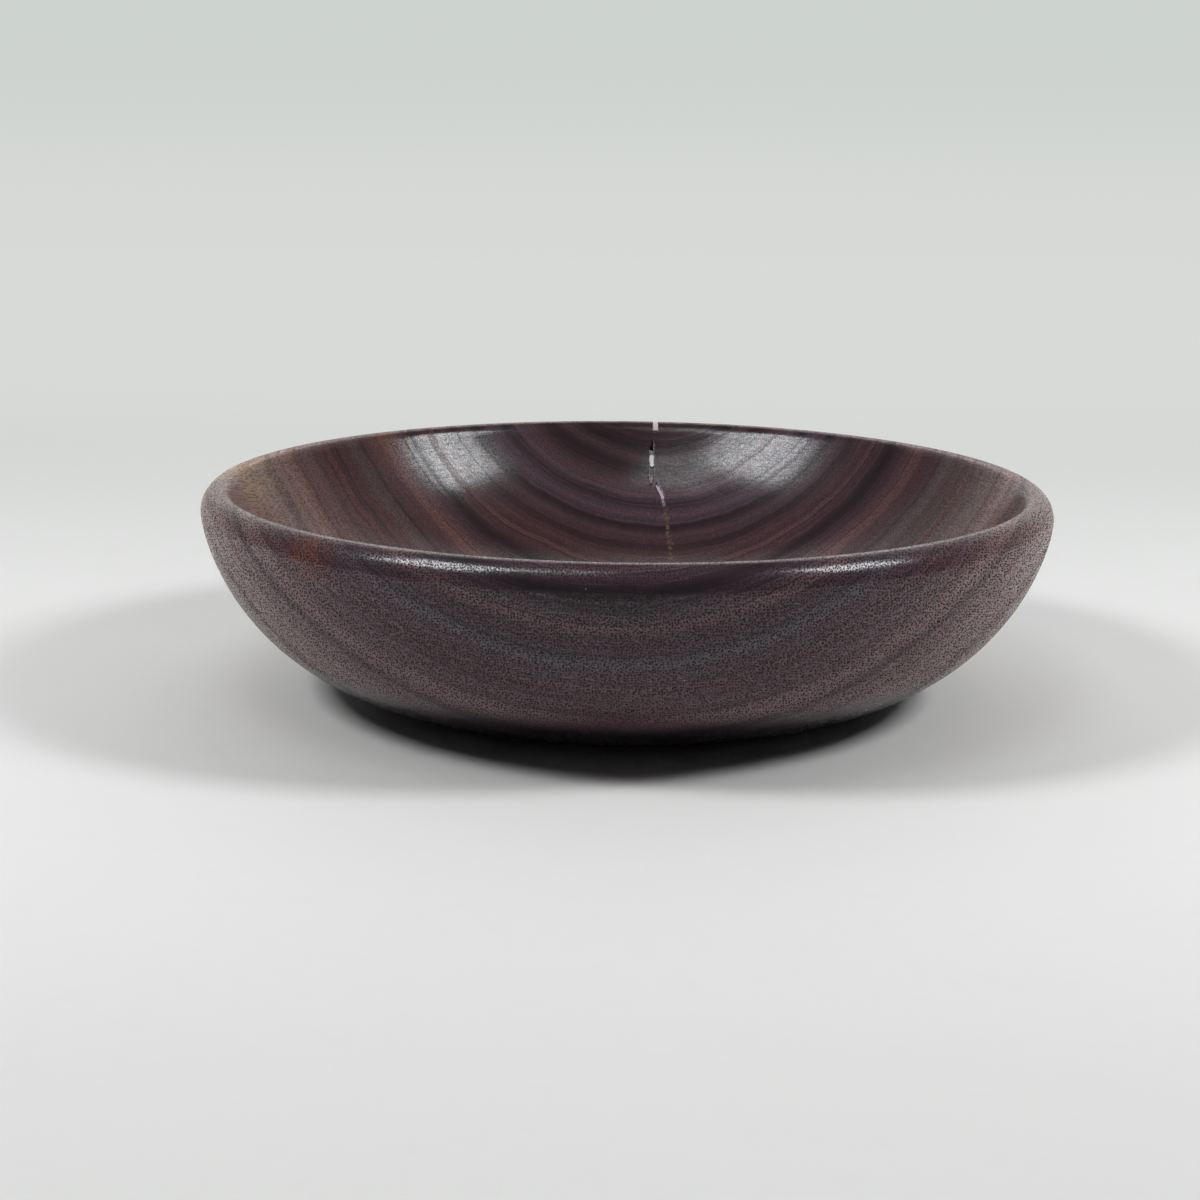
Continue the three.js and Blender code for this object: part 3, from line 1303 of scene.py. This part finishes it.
@dataclass
class FillerSliver(FillerPiece):
    """A sliver of filler that is flush with the wall and as ragged as the split.

    The stains hold drops below the crest of the rim, from the top of the sliver to its end, each with how
    dark it is.
    """

    stains: tuple[tuple[float, float], ...]
    sink: float = mm(0.05)
    overlap: float = mm(0.20)
    row_pitch: float = mm(0.12)
    least_rows: int = 4
    end_taper: float = mm(0.45)
    end_share: float = 0.5
    least_half: float = 0.3
    edge_stain: float = 0.3
    lump_height: float = mm(0.03)
    lump_slant: float = 3.1
    back_round: float = 0.35

    def _sheets(self) -> tuple[np.ndarray, np.ndarray, np.ndarray]:
        """The sliver's front along the wall, its back inside the crack, and how stained it is.

        Returns:
            The front and back points and the stains, by row and column.
        """
        drops, shades = np.array(self.stains).T
        rows = max(self.least_rows, round((drops[-1] - drops[0]) / self.row_pitch))
        drop = np.linspace(drops[0], drops[-1], rows + 1)[:, None]
        across = self._across()
        ends = np.minimum(drop - drops[0], drops[-1] - drop) / self.end_taper
        taper = self.end_share + (1.0 - self.end_share) * np.sqrt(np.clip(ends, 0.0, 1.0))
        stain = np.interp(drop, drops, shades) + self.edge_stain * np.abs(across) ** 3
        least = self.strand.width * self.least_half
        half = (np.maximum(self.strand.half_width(drop), least) + self.overlap) * taper
        sideways = self.strand.centre(drop) + half * across
        height = np.broadcast_to(self.section.height - drop, sideways.shape)
        wall = np.sqrt(self.section.wall_radius(drop) ** 2 - sideways**2)
        front = wall + self.sink + self.lump_height * self._lumps(drop + self.lump_slant * sideways)
        back = wall + self.strand.depth * (1.0 - self.back_round * across**2)
        return np.dstack([sideways, front, height]), np.dstack([sideways, back, height]), stain


@dataclass
class RimPlug(FillerPiece):
    """The plug of filler that crosses the crest of the rim at the head of the crack."""

    sink: float = mm(0.04)
    overlap: float = mm(0.08)
    least_depth: float = mm(0.02)
    lump_height: float = mm(0.02)
    lump_slant: float = 2.7
    stain: float = 0.25
    edge_stain: float = 0.4

    def _sheets(self) -> tuple[np.ndarray, np.ndarray, np.ndarray]:
        """The plug's top over the rim, its level base in the notch, and how stained it is.

        Returns:
            The front and back points and the stains, by row and column.
        """
        over = self.section.crown(self.strand.depth)
        run = np.concatenate([[0.0], np.cumsum(np.linalg.norm(np.diff(over, axis=0), axis=1))])[:, None]
        across = self._across()
        half = self.strand.half_width(np.zeros(1))[0] + self.overlap
        shape = (len(over), self.COLUMNS)
        sideways = np.broadcast_to(self.strand.line[0][0] + half * across, shape)
        stain = np.broadcast_to(self.stain + self.edge_stain * np.abs(across) ** 3, shape)
        lumps = self._lumps(run + self.lump_slant * sideways)
        height = over[:, 1:] - self.sink + self.lump_height * lumps
        away = np.sqrt(over[:, :1] ** 2 - sideways**2)
        floor = np.full(shape, self.section.height - self.strand.depth - self.overlap)
        front = np.dstack([sideways, away, np.maximum(height, floor + self.least_depth)])
        return front, np.dstack([sideways, away, floor]), stain


class LampLight(Enum):
    """What a lamp does to the scene."""

    CAST = "lights surfaces and throws shadows"
    MIRRORED = "shows in gloss only"


@dataclass(frozen=True)
class Lamp:
    """A flat lamp that faces the dish."""

    name: str
    light: LampLight
    place: Vector
    radiance: float
    width: float
    height: float
    tint: Colour = (1.0, 1.0, 1.0)

    def build(self) -> bpy.types.Object:
        """Sets the lamp up.

        Returns:
            The lamp.
        """
        data = bpy.data.lights.new(self.name, "AREA")
        data.shape = "RECTANGLE"
        data.size = self.width
        data.size_y = self.height
        data.energy = self.radiance * math.pi * self.width * self.height
        data.color = self.tint
        lamp = bpy.data.objects.new(data.name, data)
        lamp.location = self.place
        lamp.rotation_euler = self.place.to_track_quat("Z", "Y").to_euler()
        lamp.visible_camera = False
        lamp.visible_diffuse = self.light is LampLight.CAST
        lamp.visible_glossy = self.light is LampLight.MIRRORED
        bpy.context.scene.collection.objects.link(lamp)
        return lamp


@dataclass(frozen=True)
class Viewpoint:
    """Where the dish is seen from."""

    place: Vector = field(default_factory=lambda: Vector((0.0, -0.5058, 0.1321)))
    pitch: float = math.radians(12.685)
    yaw: float = math.radians(0.62)
    roll: float = math.radians(0.594)
    lens: float = 72.0
    sensor: float = 36.0
    nearest: float = 0.01

    def build(self) -> bpy.types.Object:
        """Sets the camera up and makes it the scene's own.

        Returns:
            The camera.
        """
        data = bpy.data.cameras.new("camera")
        data.lens = self.lens
        data.sensor_width = self.sensor
        data.clip_start = self.nearest
        camera = bpy.data.objects.new("camera", data)
        level = math.cos(self.pitch)
        ahead = Vector((-math.sin(self.yaw) * level, math.cos(self.yaw) * level, -math.sin(self.pitch)))
        right = Vector((math.cos(self.yaw), math.sin(self.yaw), 0.0))
        up = right.cross(ahead)
        leaning_right = right * math.cos(self.roll) + up * math.sin(self.roll)
        leaning_up = up * math.cos(self.roll) - right * math.sin(self.roll)
        turned = Matrix((leaning_right, leaning_up, -ahead)).transposed().to_4x4()
        camera.matrix_world = Matrix.Translation(self.place) @ turned
        bpy.context.scene.collection.objects.link(camera)
        bpy.context.scene.camera = camera
        return camera


COOL = (0.96, 1.0, 1.02)
ROSY = (1.0, 0.82, 0.82)


@dataclass
class Studio:
    """A pale sheet that the dish stands on and that rises far behind it, soft lamps and the camera."""

    reach: float = 3.0
    sweep_start: float = 1.1
    sweep_radius: float = 0.5
    sweep_height: float = 2.6
    sweep_steps: int = 24
    table_width: float = 0.60
    table_depth: float = 0.48
    table_steps: int = 36
    floor_lift: float = mm(0.5)
    floor_colour: Colour = (0.02, 0.02, 0.02)
    sheet_colour: Colour = (0.80, 0.805, 0.80)
    sheet_patch: float = mm(6)
    sheet_patch_shade: float = 0.985
    sheet_balance: float = 0.35
    # Painted shade on the paper towards the front.
    painted_front_shade: Fade = Fade(-0.10, -0.24, 0.0, 0.10)
    room: Colour = (0.035, 0.035, 0.035)
    far_colour: Colour = (0.672, 0.687, 0.672)
    beyond: Colour = (0.610, 0.645, 0.617)
    glow_away: Fade = Fade(0.12, 0.50)
    glow_height: Fade = Fade(0.0, 0.16)
    glow_sides: Fade = Fade(0.9, 1.9, 0.0, 0.45)
    lamps: tuple[Lamp, ...] = (
        Lamp("left_key", LampLight.CAST, Vector((-0.535, -0.212, 0.590)), 29.5, 0.18, 0.18),
        Lamp("right_key", LampLight.CAST, Vector((0.595, -0.170, 0.560)), 34.6, 0.18, 0.18),
        Lamp("top_key", LampLight.CAST, Vector((-0.15, -0.30, 0.82)), 2.4, 0.28, 0.28),
        Lamp("ceiling", LampLight.CAST, Vector((0.0, 0.05, 1.30)), 0.42, 1.2, 1.2),
        Lamp("back_glow", LampLight.CAST, Vector((0.0, 0.92, 0.40)), 0.7, 2.0, 0.5),
        Lamp("left_gleam", LampLight.MIRRORED, Vector((-0.30, -0.19, 0.42)), 10.6, 0.23, 0.21, COOL),
        Lamp("right_gleam", LampLight.MIRRORED, Vector((0.86, -0.26, 0.90)), 12.2, 0.44, 0.42, COOL),
        Lamp("top_gleam", LampLight.MIRRORED, Vector((-0.18, -0.37, 0.82)), 2.8, 0.26, 0.26, COOL),
        Lamp("back_gleam", LampLight.MIRRORED, Vector((0.0, 1.40, 0.95)), 1.1, 1.0, 0.9, ROSY),
    )
    viewpoint: Viewpoint = field(default_factory=Viewpoint)

    def build(self) -> None:
        """Sets up everything round the dish."""
        self.viewpoint.build()
        for lamp in self.lamps:
            lamp.build()
        self._sheet()
        self._dark_floor()
        self._world()
        bpy.context.scene.view_settings.view_transform = "Standard"
        LOG.info("studio: %d lamps", len(self.lamps))

    def _sheet(self) -> bpy.types.Object:
        """The pale sheet: flat under the dish, with a round rise behind.

        Returns:
            The sheet.
        """
        turn = np.linspace(0.0, math.pi / 2, self.sweep_steps + 1)
        away = self.sweep_start + self.sweep_radius * np.sin(turn)
        height = self.sweep_radius * (1.0 - np.cos(turn))
        line = [(-self.reach, 0.0), *zip(away, height), (away[-1], self.sweep_height)]
        points = [(side * self.reach, y, z) for y, z in line for side in (-1.0, 1.0)]
        faces = [(2 * row, 2 * row + 1, 2 * row + 3, 2 * row + 2) for row in range(len(line) - 1)]
        mesh = bpy.data.meshes.new("pale_sheet")
        mesh.from_pydata(points, [], faces)
        mesh.polygons.foreach_set("use_smooth", [True] * len(faces))
        mesh.materials.append(self._sheet_material())
        return place_piece("pale_sheet", mesh)

    def _sheet_material(self) -> bpy.types.Material:
        """Matt pale paper with a faint unevenness and painted shade towards the front; where it is far away
        it glows instead, brighter low down and dimmer far to the sides.

        Returns:
            The material.
        """
        material, bench = new_material("pale_paper")
        black = opaque(BLACK)
        dimmed = tuple(part * self.sheet_patch_shade for part in self.sheet_colour)
        mottle = mottled(bench, self.sheet_patch, self.sheet_colour, dimmed, self.sheet_balance)
        place = bench.parts(bench.here())
        # Painted shade: the paper darkens towards the front.
        paper = bench.mix(bench.fade(place["Y"], self.painted_front_shade), mottle["Colour"], black)
        far = bench.fade(place["Y"], self.glow_away)
        high = bench.fade(place["Z"], self.glow_height)
        glow = bench.mix(high, opaque(self.far_colour), opaque(self.beyond))
        aside = bench.fade(bench.math("ABSOLUTE", place["X"]), self.glow_sides)
        bench.surface({
            "Base Color": bench.mix(far, paper, black),
            "Roughness": 0.95,
            "Specular IOR Level": 0.1,
            "Emission Color": bench.mix(far, black, bench.mix(aside, glow, black)),
            "Emission Strength": 1.0,
        })
        return material

    def _dark_floor(self) -> bpy.types.Object:
        """The dark room in front of the pale table, which only reflections show.

        Returns:
            The floor.
        """
        turns = np.linspace(math.pi / 2, 1.5 * math.pi, self.table_steps + 1)
        round_table = [(math.sin(turn), math.cos(turn)) for turn in turns]
        sizes = ((self.table_width / 2, self.table_depth / 2), (self.reach, self.reach))
        points = [(x * wide, y * deep, self.floor_lift) for wide, deep in sizes for x, y in round_table]
        count = len(turns)
        faces = [(index, index + 1, index + 1 + count, index + count) for index in range(count - 1)]
        mesh = bpy.data.meshes.new("dark_floor")
        mesh.from_pydata(points, [], faces)
        material, bench = new_material("dark_room")
        bench.surface({"Base Color": opaque(self.floor_colour), "Roughness": 0.9})
        mesh.materials.append(material)
        floor = place_piece("dark_floor", mesh)
        floor.visible_camera = False
        floor.visible_diffuse = False
        floor.visible_shadow = False
        floor.visible_transmission = False
        return floor

    def _world(self) -> None:
        """A dim room for light and reflections, and a pale one where the camera looks past the sheet."""
        world = bpy.data.worlds.new("room")
        world.use_nodes = True
        world.node_tree.nodes.clear()
        bench = NodeBench(world.node_tree)
        seen = bench.node("ShaderNodeLightPath").outputs["Is Camera Ray"]
        colour = bench.mix(seen, opaque(self.room), opaque(self.beyond))
        light = bench.node("ShaderNodeBackground", {"Color": colour, "Strength": 1.0})
        bench.node("ShaderNodeOutputWorld", {"Surface": light.outputs[0]})
        bpy.context.scene.world = world


def main() -> None:
    """Builds the studio, the bowl and the slivers of filler."""
    logging.basicConfig(level=logging.INFO, format="%(name)s %(message)s")
    Studio().build()
    section = DishSection()
    crack = DryingCrack(section)
    TurnedBowl(section, crack, WoodFinish()).build()

    rosy = FillerFinish("rosy_filler", pale=(0.58, 0.51, 0.53), stained=(0.25, 0.19, 0.20))
    white = FillerFinish("white_filler", pale=(0.68, 0.67, 0.68), stained=(0.16, 0.125, 0.13))
    grey = FillerFinish("grey_filler", pale=(0.22, 0.17, 0.20), stained=(0.065, 0.047, 0.06))
    lilac = FillerFinish("lilac_filler", pale=(0.45, 0.37, 0.45), stained=(0.12, 0.088, 0.11))
    RimPlug("rim_plug", "crack_fill_rim", section, crack.rim, rosy).build()
    upper_stains = ((mm(6.5), 0.8), (mm(7.4), 0.9), (mm(7.7), 0.1), (mm(9.8), 0.1), (mm(10.2), 0.6))
    middle_stains = ((mm(10.3), 0.65), (mm(12.2), 0.55), (mm(12.6), 0.2), (mm(13.9), 0.4))
    lower_stains = ((mm(14.0), 0.5), (mm(14.8), 0.15), (mm(16.8), 0.2), (mm(17.4), 0.5), (mm(18.8), 0.8))
    slivers = (
        FillerSliver("upper_sliver", "crack_fill_upper", section, crack.upper, white, upper_stains),
        FillerSliver("middle_sliver", "crack_fill_middle", section, crack.upper, grey, middle_stains),
        FillerSliver("lower_sliver", "crack_fill_lower", section, crack.lower, lilac, lower_stains),
    )
    for sliver in slivers:
        sliver.build()


if __name__ == "__main__":
    main()
